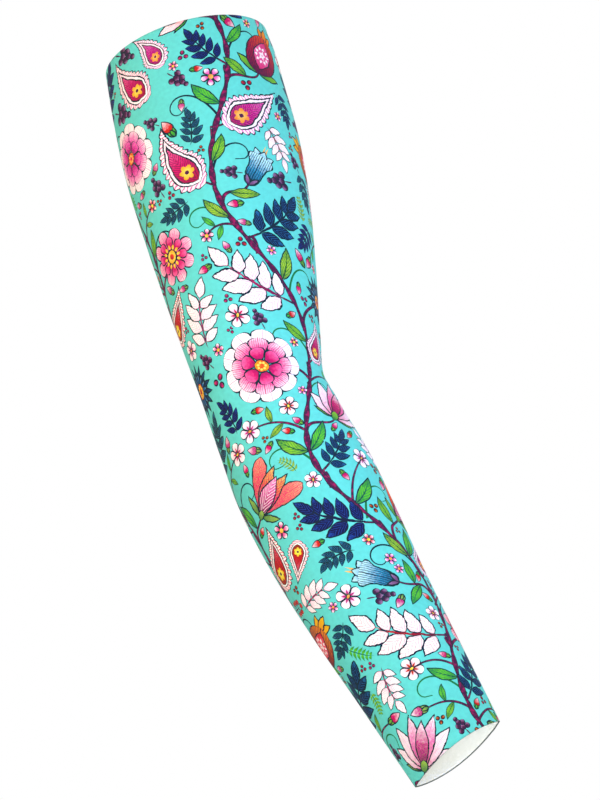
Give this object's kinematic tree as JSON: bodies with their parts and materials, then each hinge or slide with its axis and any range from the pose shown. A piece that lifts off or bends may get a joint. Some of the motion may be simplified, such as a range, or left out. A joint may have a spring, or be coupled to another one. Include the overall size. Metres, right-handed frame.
{
  "type": "cycling arm sleeve",
  "caption": "Tubular stretch-knit arm sleeve, open at both ends, tapering from upper arm to wrist with a slight elbow bend, with a floral print outside and a white inside.",
  "frame": {"origin": "middle of the upper opening, in the plane of its edge", "axes": "+Z out of the upper opening, away from the wrist; +X to the side of the crook of the elbow, which the forearm bends towards; -Y the face that is seen in the picture"},
  "size_m": [0.1155, 0.0972, 0.4548],
  "materials": {
    "printed_knit": "matt turquoise stretch knit with a many-coloured floral print, white on the inside"
  },
  "bodies": {
    "root": {"sleeve": "printed_knit"}
  },
  "joints": []
}
